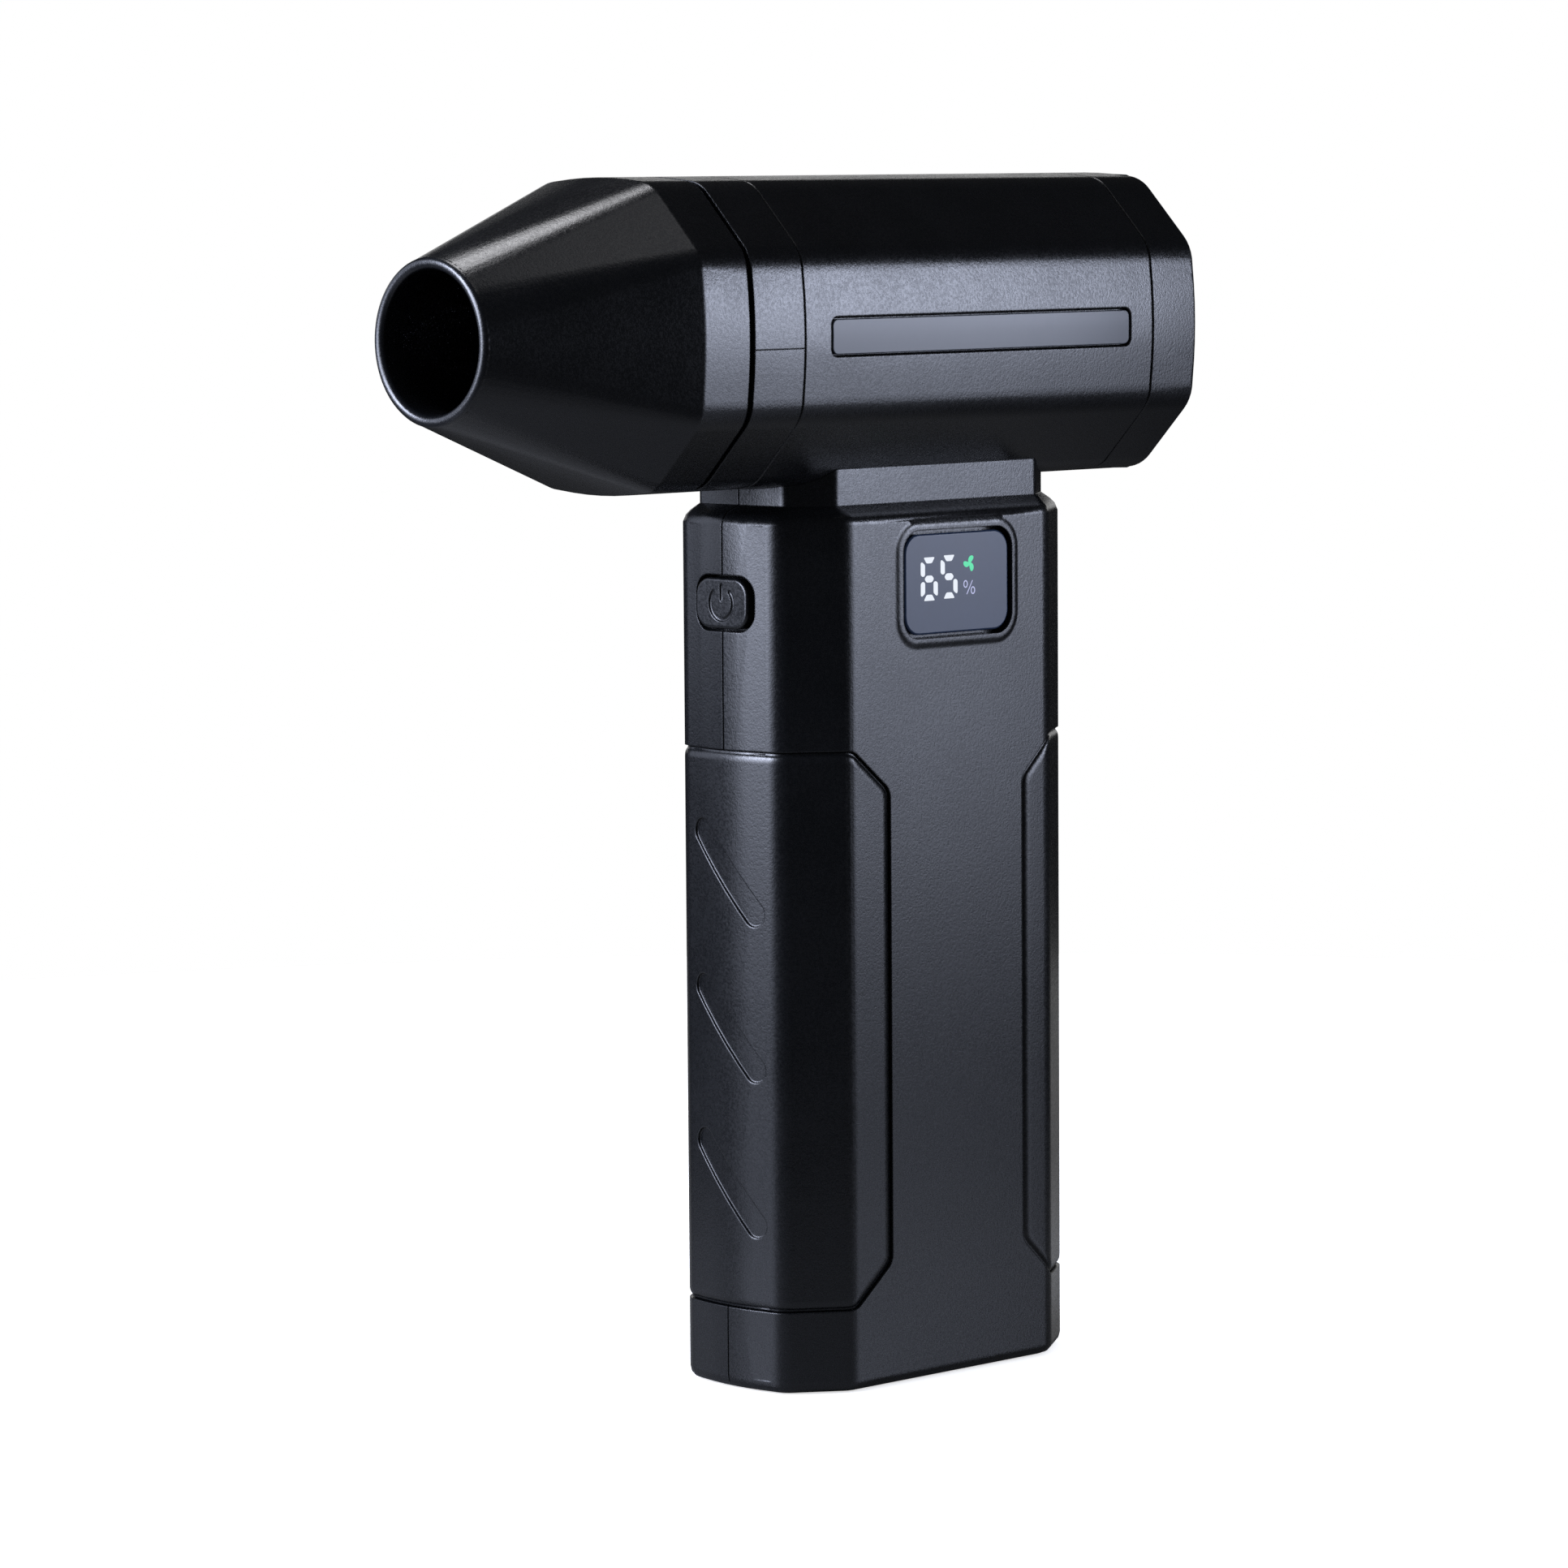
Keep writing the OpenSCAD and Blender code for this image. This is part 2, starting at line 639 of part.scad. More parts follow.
// A panel's outline in (y, z), facing forwards or backwards; the open side lies beyond the handle
function grip_outline(edge, dir, t) =
    let (far = handle_d, run = edge == grip_front_edge ? 8.4 : 7.3, rise = 7)
    let (half = [
        [far, grip_bottom], [edge + run, grip_bottom], [edge, grip_bottom + rise],
        [edge, grip_top - rise], [edge + run, grip_top], [far, grip_top]
    ])
    let (turned = dir > 0 ? [for (i = [5:-1:0]) half[i]] : [for (p = half) [-p.x, p.y]])
    inset(turned, t);

module grip_zone(edge, dir, t, width) {
    across(-width / 2, width / 2)
        polygon(rounded(grip_outline(edge, dir, t), 3 - t / 2, [for (i = [0:5]) 0]));
}

// The recess that takes a grip panel
module grip_recess(edge, dir) difference() {
    grip_zone(edge, dir, 0, handle_w + 10);
    handle_bar(0, handle_h, grip_depth);
}

// How far the layers of a panel lie inside its recess, and below the handle's surface
grip_layers = [
    for (share = [[1, 0], [0.66, 0.06], [0.37, 0.24], [0.15, 0.54], [0, 1]])
        [grip_joint + grip_rim + grip_bevel * share[0], grip_bevel_depth * share[1]]
];

module grip_layer(edge, dir, inwards, below) intersection() {
    grip_zone(edge, dir, inwards, handle_w + 10);
    handle_bar(0, handle_h, below);
}

// A grip panel: a thin skin that wraps the handle, with a rounded bevel and a flat rim
module grip_panel(edge, dir) difference() {
    union() {
        hull() for (layer = grip_layers) grip_layer(edge, dir, layer[0], layer[1]);
        grip_layer(edge, dir, grip_joint, grip_bevel_depth);
    }
    handle_bar(0, handle_h, grip_depth - SEAT);
}

module slot_outline() {
    for (side = [-1, 1]) translate([side * slot_len / 2, 0]) circle(r = slot_r);
    square([slot_len, 2 * slot_r], center = true);
}

slots_z = 34.4;

module grip_front() color(shell_dark) difference() {
    grip_panel(grip_front_edge, -1);
    difference() {
        for (k = [0:slot_count - 1]) along(front_y - 1, front_y + 6)
            translate([0.3, slots_z + k * slot_pitch]) rotate(-slot_angle) slot_outline();
        handle_bar(0, handle_h, slot_depth);
    }
}

module grip_rear() color(shell_dark) grip_panel(grip_rear_edge, 1);

button_clear_x = 0.85;
button_clear_z = 0.55;

// Both halves of the handle as one hollow body
module handle_hollow() difference() {
    handle_body();
    handle_bar(cavity_z0, cavity_z1, handle_wall);
    difference() {
        translate([0, 0, cavity_z1 - CUT]) linear_extrude(neck_z1 - cavity_z1 + 1) neck_outline(neck_wall);
        translate([-20, -40, neck_z0]) cube([40, 80, plate_t]);
    }
    translate([-6, -8, neck_z0 - 1]) cube([12, 16, plate_t + 2]);
    at_corners(neck_screw_at.x, neck_screw_at.y)
        translate([0, 0, neck_z0 - 1]) cylinder(r = 1.3, h = plate_t + 2);
    head_frame() head_bar(-head_rear - 5, head_front + 5, -0.02);
    grip_recess(grip_front_edge, -1);
    grip_recess(grip_rear_edge, 1);
    along(front_y - 2, front_y + 4) translate([0, button_z])
        rounded_rect(button_w + 2 * button_clear_x, button_h + 2 * button_clear_z, 3.4);
    along(-front_y - 4, -front_y + 2) translate([0, port_z]) rounded_rect(port_w + 0.6, port_h + 0.6, 1.8);
}

// Shallow line where the two shells meet
module parting_groove() difference() {
    translate([-0.14, -40, -1]) cube([0.28, 80, 170]);
    handle_bar(0.4, handle_h, 0.4);
    translate([0, 0, handle_h - 1]) linear_extrude(40) neck_outline(0.4);
}

// Posts that the handle screws clamp, on the shell on the given side
module screw_posts(side) intersection() {
    for (y = [-screw_y, screw_y], z = screw_z) translate([0, y, z]) rotate([0, side * 90, 0])
        cylinder(r = 2.8, h = 17);
    handle_bar(0, handle_h, grip_depth + 0.2);
}

module handle_shell_left() color(shell_dark) difference() {
    union() {
        intersection() {
            handle_hollow();
            translate([-60, -60, -10]) cube([60, 120, 200]);
        }
        screw_posts(-1);
        board_ribs(-1);
    }
    for (y = [-screw_y, screw_y], z = screw_z) translate([1, y, z]) rotate([0, -90, 0]) {
        cylinder(r = 1.3, h = 20);
        translate([0, 0, 10]) cylinder(r = 2.3, h = 20);
    }
    parting_groove();
}

// Outline of the display's opening, made larger by t all round
module bezel_outline(t) {
    grow = 2 * (lens_joint + t);
    translate([display_y, display_z]) rounded_rect(display_w + grow, display_h + grow, 3.6 + t);
}

module handle_shell_right() color(shell_dark) difference() {
    union() {
        intersection() {
            handle_hollow();
            translate([0, -60, -10]) cube([60, 120, 200]);
        }
        screw_posts(1);
        board_ribs(1);
        hull() {
            across(side_x - 1, side_x) bezel_outline(bezel_flat + bezel_slope);
            across(side_x, side_x + 0.7 * bezel_proud) bezel_outline(bezel_flat + bezel_slope / 2);
            across(side_x, side_x + bezel_proud) bezel_outline(bezel_flat);
        }
        for (p = board_posts) translate([4, p.x, p.y]) rotate([0, 90, 0])
            cylinder(r = 2.2, h = side_x - 5);
    }
    across(side_x - lens_t, side_x + 2) bezel_outline(0);
    across(side_x - 4, side_x + 2) translate([display_y, display_z])
        rounded_rect(display_w - 3, display_h - 3, 2);
    for (y = [-screw_y, screw_y], z = screw_z) translate([-1, y, z]) rotate([0, 90, 0])
        cylinder(r = 1, h = 9);
    parting_groove();
}

module handle_screws() color(metal_grey)
    for (y = [-screw_y, screw_y], z = screw_z) translate([-10.8, y, z]) rotate([0, 90, 0])
        screw(2, 1.8, 0.95, 15);

module neck_screws() color(metal_grey) at_corners(neck_screw_at.x, neck_screw_at.y)
    translate([0, 0, neck_z0 - 1.7]) screw(2.2, 1.65, 1.1, 8.2);

// ---- Display ----

module display_lens() color("#2b303a")
    across(side_x - lens_t + SEAT, side_x + 0.1) translate([display_y, display_z])
        rounded_rect(display_w, display_h, 3.3);

board_x = 4;
board_posts = [[-16, 109], [24, 109], [24, 138.5], [-16, 138.5]];

module display_module() color("#e8e8e8")
    across(side_x - 5.4, side_x - 4.1 + 1.4) translate([display_y, display_z])
        rounded_rect(display_w - 4, display_h - 4, 1.5);

module display_board() color("#1f5136")
    across(side_x - 7.1, side_x - 7.1 + board_t) translate([display_y, display_z])
        rounded_rect(display_w + 2, display_h + 1, 1);

// ---- Power button ----

cap_y = front_y - 0.25;

module power_button() color(shell_dark) {
    along(cap_y, front_y + 3.8) translate([0, button_z]) rounded_rect(button_w, button_h, 3);
    along(front_y + 3.8, front_y + 4.6) translate([0, button_z]) rounded_rect(button_w + 3.4, button_h + 3, 3);
    along(front_y + 4.6, front_y + 5.4) translate([0, button_z]) circle(r = 1.6);
}

module tact_switch() color("#2a2a2a") {
    translate([-3, front_y + 7, button_z - 3]) cube([6, 3, 6]);
    translate([0, front_y + 6.4, button_z]) rotate([-90, 0, 0]) cylinder(r = 1.5, h = 1);
}

module switch_board() color("#1f5136")
    translate([-11, front_y + 10, button_z - 9]) cube([22, board_t, 18]);

// Ribs that hold the switch board's edge, on the shell on the given side
module board_ribs(side) for (y = [front_y + 8.6, front_y + 11.7])
    mirror([side < 0 ? 1 : 0, 0, 0]) intersection() {
        translate([8.5, y, button_z - 10]) cube([12, 1.3, 20]);
        handle_bar(0, handle_h, handle_wall - 0.5);
    }

// ---- Electronics ----

module control_board() color("#1f5136") difference() {
    across(board_x - board_t - 0.05, board_x - 0.05) translate([4, 123.8]) square([48, 36], center = true);
    for (p = board_posts) translate([0, p.x, p.y]) rotate([0, 90, 0]) cylinder(r = 1.1, h = 10);
}

module smoothing_capacitor() color("#24344d")
    translate([board_x - board_t - 5.2, 20, 112]) cylinder(r = 5, h = 20);

module power_transistors() color("#17181a") for (k = [0:5])
    translate([board_x - board_t - 1.15, -16 + 7 * (k % 3), 116 + 10 * floor(k / 3)]) cube([1.1, 5, 6]);

module motor_plug() color("#e6e2d6")
    translate([board_x - board_t - 6.05, -6, 135]) cube([6, 12, 5.5]);

// ---- Battery ----

cell_y = [for (k = [0:cell_count - 1]) (k - (cell_count - 1) / 2) * cell_pitch];

module battery_cells() color("#2f6db5") for (y = cell_y) translate([0, y, cell_z0]) {
    cylinder(r = cell_r, h = cell_len - 1);
    cylinder(r = 4.5, h = cell_len);
}

// A tray from z0 upwards that takes the cells' ends in round pockets
module cell_holder(z0, pocket_z) difference() {
    handle_bar(z0, z0 + 6, handle_wall + 0.3);
    for (y = cell_y) translate([0, y, 0]) {
        translate([0, 0, pocket_z]) cylinder(r = cell_r + 0.03, h = 4.5);
        translate([0, 0, z0 - 1]) cylinder(r = 7, h = 8);
    }
    for (y = [-screw_y, screw_y], z = screw_z) translate([-20, y, z]) rotate([0, 90, 0])
        cylinder(r = 3.1, h = 40);
}

module cell_holder_bottom() color("#3b3f45") cell_holder(cell_z0 - 1.5, cell_z0);
module cell_holder_top() color("#3b3f45") cell_holder(cell_z1 - 5.5, cell_z1 - 5.5);

module cell_link(z) for (k = [0:cell_count - 2])
    translate([-3.5, cell_y[k] - 3, z]) cube([7, cell_pitch + 6 - 7 * k, 0.2]);

module cell_links_top() color("#c9c9c4") cell_link(cell_z1 + 0.51);
module cell_links_bottom() color("#c9c9c4") cell_link(cell_z0 - 1.75);

// ---- Charging ----

module charge_board() color("#1f5136")
    translate([-9, 10, port_z - port_h / 2 - board_t]) cube([18, 20.5, board_t]);

module usb_socket() color(metal_grey) along(24.2, 33.4) translate([0, port_z]) difference() {
    rounded_rect(port_w, port_h, 1.6);
    rounded_rect(port_w - 0.6, port_h - 0.6, 1.3);
}

nozzle();
nozzle_seal();
collar_upper();
collar_lower();
collar_screws();
head_shell();
side_strip_right();
side_strip_left();
rear_cover();
intake_screen();
fan_duct();
duct_gasket_front();
duct_gasket_rear();
stator_vanes();
motor_stator();
motor_cap();
motor_bearings();
motor_rotor();
motor_shaft();
impeller();
impeller_nut();
tail_cone();
neck_screws();
handle_shell_right();
handle_shell_left();
handle_screws();
grip_front();
grip_rear();
display_lens();
display_module();
display_board();
power_button();
tact_switch();
switch_board();
control_board();
smoothing_capacitor();
power_transistors();
motor_plug();
battery_cells();
cell_holder_top();
cell_holder_bottom();
cell_links_top();
cell_links_bottom();
charge_board();
usb_socket();
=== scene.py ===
"""Looks of the handheld turbine blower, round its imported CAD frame. Metres, same frame as the CAD:
origin at the centre of the flat base, +Z up, the nozzle towards -Y, the display on the +X side."""
import json
import math

import bmesh
import bpy
from mathutils import Matrix, Vector
from mathutils.geometry import convex_hull_2d


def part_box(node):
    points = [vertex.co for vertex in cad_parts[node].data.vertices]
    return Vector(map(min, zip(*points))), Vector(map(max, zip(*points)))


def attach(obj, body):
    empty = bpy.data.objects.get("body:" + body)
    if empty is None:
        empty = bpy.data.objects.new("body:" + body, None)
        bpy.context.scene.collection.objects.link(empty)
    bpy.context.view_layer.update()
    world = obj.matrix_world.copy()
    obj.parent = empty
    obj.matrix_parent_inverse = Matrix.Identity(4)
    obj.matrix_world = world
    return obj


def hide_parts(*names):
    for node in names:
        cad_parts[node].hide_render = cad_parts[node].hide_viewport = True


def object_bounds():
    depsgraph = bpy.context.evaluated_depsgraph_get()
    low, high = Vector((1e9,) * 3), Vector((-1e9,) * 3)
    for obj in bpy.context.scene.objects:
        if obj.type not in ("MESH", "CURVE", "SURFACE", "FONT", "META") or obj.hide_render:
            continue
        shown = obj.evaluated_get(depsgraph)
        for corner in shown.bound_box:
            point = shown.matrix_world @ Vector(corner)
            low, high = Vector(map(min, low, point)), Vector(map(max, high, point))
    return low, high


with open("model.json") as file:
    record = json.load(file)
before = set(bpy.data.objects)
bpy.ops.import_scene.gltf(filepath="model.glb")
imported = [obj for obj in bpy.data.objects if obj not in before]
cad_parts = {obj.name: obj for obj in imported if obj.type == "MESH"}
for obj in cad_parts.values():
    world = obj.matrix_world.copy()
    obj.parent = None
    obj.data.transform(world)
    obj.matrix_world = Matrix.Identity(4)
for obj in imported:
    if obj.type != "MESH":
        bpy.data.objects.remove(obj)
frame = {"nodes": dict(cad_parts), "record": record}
cad_low, cad_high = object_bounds()
cad_nodes = frame["nodes"]

MM = 0.001


def towards(azimuth, elevation):
    """Unit vector at that azimuth (0 on the nozzle's side, 90 on the display's) and elevation, in degrees."""
    a, e = math.radians(azimuth), math.radians(elevation)
    return Vector((math.sin(a) * math.cos(e), -math.cos(a) * math.cos(e), math.sin(e)))


def add_object(name, data):
    obj = bpy.data.objects.new(name, data)
    bpy.context.scene.collection.objects.link(obj)
    return obj


# ---------------------------------------------------------------- camera, fitted to the photograph

CAM_AZIMUTH, CAM_ELEVATION, CAM_ROLL = 45.96, 5.666, -0.415   # degrees
CAM_DISTANCE = 1.0656
CAM_TARGET = Vector((-0.01058, -0.01094, 0.09839))
CAM_LENS, CAM_SENSOR = 145.06, 36.0   # millimetres


def make_camera():
    back = towards(CAM_AZIMUTH, CAM_ELEVATION)
    data = bpy.data.cameras.new("camera")
    data.lens, data.sensor_width = CAM_LENS, CAM_SENSOR
    data.clip_start, data.clip_end = 0.05, 20.0
    cam = add_object("camera", data)
    cam.rotation_mode = "QUATERNION"
    cam.location = CAM_TARGET + back * CAM_DISTANCE
    turn = Matrix.Rotation(math.radians(CAM_ROLL), 3, "Z")
    cam.rotation_quaternion = ((-back).to_track_quat("-Z", "Y").to_matrix() @ turn).to_quaternion()
    bpy.context.scene.camera = cam


make_camera()


# ---------------------------------------------------------------- materials


class Graph:
    """The node graph of a material, lamp or world, with short calls for the nodes used here."""

    def __init__(self, owner, output):
        owner.use_nodes = True
        self.owner, self.tree = owner, owner.node_tree
        self.tree.nodes.clear()
        self.out = self.node(output)
        self.coord = self.node("TexCoord").outputs["Object"]

    def node(self, kind, settings=None, **inputs):
        n = self.tree.nodes.new("ShaderNode" + kind)
        for key, value in (settings or {}).items():
            setattr(n, key, value)
        for key, value in inputs.items():
            self.put(n.inputs[key.replace("_", " ")], value)
        return n

    def put(self, socket, value):
        if isinstance(value, bpy.types.NodeSocket):
            self.tree.links.new(value, socket)
        else:
            socket.default_value = value

    def show(self, shader):
        self.put(self.out.inputs[0], shader.outputs[0])
        return self.owner

    def math(self, op, a, b=0.0, clamp=False):
        n = self.node("Math", {"operation": op, "use_clamp": clamp})
        self.put(n.inputs[0], a)
        self.put(n.inputs[1], b)
        return n.outputs[0]

    def vector_math(self, op, *vectors):
        """The one number that this operation makes of its vectors."""
        n = self.node("VectorMath", {"operation": op})
        for socket, vector in zip(n.inputs, vectors):
            self.put(socket, vector)
        return n.outputs["Value"]

    def noise(self, size, detail=2.0, rough=0.5):
        """Noise whose blotches are about `size` metres across."""
        return self.node("TexNoise", Vector=self.coord, Scale=1.0 / size, Detail=detail,
                         Roughness=rough).outputs[0]

    def ramp(self, value, low, high, to_low=0.0, to_high=1.0, kind="LINEAR"):
        return self.node("MapRange", {"interpolation_type": kind}, Value=value, From_Min=low,
                         From_Max=high, To_Min=to_low, To_Max=to_high).outputs[0]

    def mix(self, share, a, b):
        n = self.node("Mix", {"data_type": "RGBA"})
        for index, value in ((0, share), (6, a), (7, b)):
            self.put(n.inputs[index], value)
        return n.outputs[2]

    def edge(self, radius):
        """A normal rounded over sharp edges, and how far it turns from the flat one (0 on flats)."""
        bevel = self.node("Bevel", {"samples": 6}, Radius=radius).outputs[0]
        flat = self.node("NewGeometry").outputs["Normal"]
        return bevel, self.math("SUBTRACT", 1.0, self.vector_math("DOT_PRODUCT", bevel, flat), clamp=True)

    def bump(self, height, depth, normal):
        return self.node("Bump", Height=height, Distance=depth, Normal=normal).outputs[0]

    def principled(self, **inputs):
        return self.show(self.node("BsdfPrincipled", **inputs))


def material_graph(name):
    return Graph(bpy.data.materials.new(name), "OutputMaterial")


def rgb(r, g, b):
    return (r, g, b, 1.0)


SHELL_DARK, SHELL_LIGHT = (0.0022, 0.0025, 0.0031), (0.003, 0.0034, 0.0043)
PEBBLE, PEBBLE_DEPTH = 0.26 * MM, 0.022 * MM


def moulded(name, rough):
    """Spark-eroded moulding: fine pebbles in two sizes, faint flow blotches, and a painted highlight that
    makes the colour lighter along edges.
    """
    g = material_graph(name)
    fine, coarse = g.noise(PEBBLE, 0.0), g.noise(2.2 * PEBBLE, 0.0)
    pebbles = g.math("ADD", g.math("MULTIPLY", fine, 0.55), g.math("MULTIPLY", coarse, 0.45))
    blotch = g.noise(12 * MM, 3.0, 0.6)
    normal, turn = g.edge(0.3 * MM)
    # Painted highlight: along rounded edges, in patches, the colour is mixed towards a lighter one, as if the
    # edges caught light
    painted_edge_highlight = g.math("MULTIPLY", g.ramp(turn, 0.02, 0.25), g.ramp(g.noise(3 * MM, 4.0, 0.7), 0.35, 0.7))
    tone = g.mix(blotch, rgb(*SHELL_DARK), rgb(*SHELL_LIGHT))
    edge_highlight_colour = rgb(*[c * 3 + 0.006 for c in SHELL_LIGHT])
    roughness = g.math("ADD", g.ramp(blotch, 0.3, 0.7, rough - 0.02, rough + 0.02),
                       g.ramp(pebbles, 0.35, 0.65, -0.04, 0.04))
    return g.principled(Base_Color=g.mix(g.math("MULTIPLY", painted_edge_highlight, 0.5), tone, edge_highlight_colour), Roughness=roughness,
                        Specular_IOR_Level=0.5, Normal=g.bump(pebbles, PEBBLE_DEPTH, normal))


def plain(name, colour, rough, metal=0.0, spec=0.5):
    """A smooth finish with a faint grain and faint blotches in its colour and gloss."""
    g = material_graph(name)
    blotch = g.noise(4 * MM, 3.0, 0.6)
    normal, _ = g.edge(0.15 * MM)
    tone = g.mix(g.ramp(blotch, 0.3, 0.7), rgb(*[c * 0.88 for c in colour]), rgb(*colour))
    return g.principled(Base_Color=tone, Metallic=metal, Specular_IOR_Level=spec,
                        Roughness=g.ramp(blotch, 0.3, 0.7, rough * 0.85, rough * 1.15),
                        Normal=g.bump(g.noise(0.2 * MM, 2.0, 0.6), 0.004 * MM, normal))


def glowing(name, colour, strength):
    g = material_graph(name)
    cells = g.ramp(g.noise(0.9 * MM, 2.0, 0.6), 0.3, 0.7, 0.96 * strength, strength)
    return g.principled(Base_Color=rgb(0.02, 0.02, 0.02), Roughness=0.15, Specular_IOR_Level=0.2,
                        Emission_Color=rgb(*colour), Emission_Strength=cells)


# Roughness of the moulded plastics
MOULDED = {"shell_plastic": 0.27, "nozzle_plastic": 0.27, "grip_plastic": 0.28, "button_plastic": 0.27}
# Colour, roughness and, where they aren't 0 and 0.5, metallic share and specular level of the others
PLAIN = {
    "strip_gloss": ((0.03, 0.035, 0.045), 0.12, 0.0, 0.24),
    "lens_gloss": ((0.02, 0.032, 0.065), 0.08, 0.0, 0.24),
    "rubber": ((0.012, 0.012, 0.012), 0.7),
    "screw_steel": ((0.45, 0.46, 0.47), 0.3, 1.0),
    "magnet_steel": ((0.35, 0.35, 0.36), 0.35, 1.0),
    "screen_steel": ((0.12, 0.12, 0.125), 0.4, 1.0),
    "socket_steel": ((0.55, 0.55, 0.56), 0.28, 1.0),
    "link_nickel": ((0.6, 0.58, 0.54), 0.3, 1.0),
    "fan_aluminium": ((0.7, 0.7, 0.71), 0.32, 1.0),
    "nut_brass": ((0.6, 0.42, 0.16), 0.3, 1.0),
    "winding_copper": ((0.5, 0.2, 0.09), 0.35, 1.0),
    "duct_plastic": ((0.03, 0.031, 0.033), 0.4),
    "holder_plastic": ((0.04, 0.042, 0.046), 0.45),
    "part_black": ((0.01, 0.01, 0.011), 0.4),
    "plug_plastic": ((0.75, 0.72, 0.64), 0.4),
    "display_white": ((0.03, 0.033, 0.04), 0.4),
    "capacitor_sleeve": ((0.02, 0.035, 0.08), 0.3),
    "cell_wrap": ((0.03, 0.15, 0.45), 0.25),
    "board_green": ((0.012, 0.09, 0.04), 0.35),
}
materials = {name: moulded(name, rough) for name, rough in MOULDED.items()}
materials.update({name: plain(name, *look) for name, look in PLAIN.items()})
for row in frame["record"]["subparts"]:
    node = cad_nodes[row["node"]]
    node.data.materials.clear()
    node.data.materials.append(materials[row["material_slot"]])


# ---------------------------------------------------------------- smoothing and bevels

SMOOTH_BELOW = math.radians(28)   # edges that turn less are shaded smooth, and the others are bevelled
JOIN_BELOW = math.radians(0.2)    # faces that turn less are one plane
WELD = 0.002 * MM
SEAM = 0.5 * MM                   # no bevels nearer to the middle plane, where the shells meet
# Widths of the bevels. The handle shells and the collar have none: their thin triangles would tear
BEVELS = {"nozzle": 0.3 * MM, "rear_cover": 0.2 * MM, "head_shell": 0.2 * MM, "grip_front": 0.15 * MM,
          "grip_rear": 0.15 * MM, "side_strip_right": 0.12 * MM, "side_strip_left": 0.12 * MM,
          "display_lens": 0.3 * MM}


def smoothing_group():
    """Nodes that join split vertices, drop the imported normals, smooth the flatter edges and mark the
    others for bevelling, apart from those in the seam between the shells."""
    tree = bpy.data.node_groups.new("smooth_edges", "GeometryNodeTree")
    for way in ("INPUT", "OUTPUT"):
        tree.interface.new_socket("Geometry", in_out=way, socket_type="NodeSocketGeometry")
    add, link = tree.nodes.new, tree.links.new

    def compare(value, operation, limit):
        n = add("FunctionNodeCompare")
        n.data_type, n.operation = "FLOAT", operation
        n.inputs[1].default_value = limit
        link(value, n.inputs[0])
        return n.outputs[0]

    weld = add("GeometryNodeMergeByDistance")
    weld.inputs["Distance"].default_value = WELD
    drop = add("GeometryNodeRemoveAttribute")
    drop.inputs["Name"].default_value = "custom_normal"
    faces, edges = add("GeometryNodeSetShadeSmooth"), add("GeometryNodeSetShadeSmooth")
    faces.domain, edges.domain = "FACE", "EDGE"
    mark = add("GeometryNodeStoreNamedAttribute")
    mark.data_type, mark.domain = "FLOAT", "EDGE"
    mark.inputs["Name"].default_value = "bevel_weight_edge"

    angle = add("GeometryNodeInputMeshEdgeAngle").outputs["Unsigned Angle"]
    link(compare(angle, "LESS_THAN", SMOOTH_BELOW), edges.inputs["Shade Smooth"])
    place = add("ShaderNodeSeparateXYZ")
    link(add("GeometryNodeInputPosition").outputs[0], place.inputs[0])
    off_seam = add("ShaderNodeMath")
    off_seam.operation = "ABSOLUTE"
    link(place.outputs["X"], off_seam.inputs[0])
    weight = add("ShaderNodeMath")
    weight.operation = "MULTIPLY"
    link(compare(angle, "GREATER_THAN", SMOOTH_BELOW), weight.inputs[0])
    link(compare(off_seam.outputs[0], "GREATER_THAN", SEAM), weight.inputs[1])
    link(weight.outputs[0], mark.inputs["Value"])

    chain = (add("NodeGroupInput"), weld, drop, faces, edges, mark, add("NodeGroupOutput"))
    for before, after in zip(chain, chain[1:]):
        link(before.outputs[0], after.inputs["Geometry"])
    return tree


SMOOTH = smoothing_group()


def weight_normals(obj, weight):
    m = obj.modifiers.new("weighted", "WEIGHTED_NORMAL")
    m.keep_sharp, m.weight = True, weight


def soften(obj, bevel=0.0):
    obj.modifiers.new("smooth", "NODES").node_group = SMOOTH
    joined = obj.modifiers.new("joined_planes", "DECIMATE")
    joined.decimate_type, joined.angle_limit = "DISSOLVE", JOIN_BELOW
    if bevel:
        b = obj.modifiers.new("bevel", "BEVEL")
        b.width, b.segments, b.limit_method = bevel, 2, "WEIGHT"
        b.use_clamp_overlap = False
        b.miter_outer = "MITER_ARC"
    weight_normals(obj, 60)


for name, node in cad_nodes.items():
    soften(node, BEVELS.get(name, 0.0))


# ---------------------------------------------------------------- help for the scene's own pieces


def add_piece(name, mesh, slot, body="housing", material=None):
    obj = add_object(name, mesh)
    mesh.materials.clear()
    mesh.materials.append(material or materials[slot])
    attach(obj, body)
    return obj


def open_copy(node, weld):
    """A copy of a CAD node's mesh, and the same open for editing, with vertices nearer than `weld` joined."""
    mesh = cad_nodes[node].data.copy()
    bm = bmesh.new()
    bm.from_mesh(mesh)
    bmesh.ops.remove_doubles(bm, verts=bm.verts, dist=weld)
    return mesh, bm


def close_mesh(bm, mesh):
    bm.to_mesh(mesh)
    bm.free()
    return mesh


def new_mesh(bm, name):
    bmesh.ops.recalc_face_normals(bm, faces=bm.faces)
    return close_mesh(bm, bpy.data.meshes.new(name))


def band(bm, inner, outer):
    """Faces between two closed rows of as many vertices."""
    for k in range(len(inner)):
        j = (k + 1) % len(inner)
        bm.faces.new((inner[k], inner[j], outer[j], outer[k]))


def skin(bm, rows):
    """A closed skin over rows of vertices."""
    for row, following in zip(rows, rows[1:]):
        band(bm, row, following)
    bm.faces.new(rows[0])
    bm.faces.new(rows[-1][::-1])


# ---------------------------------------------------------------- nozzle and right shell


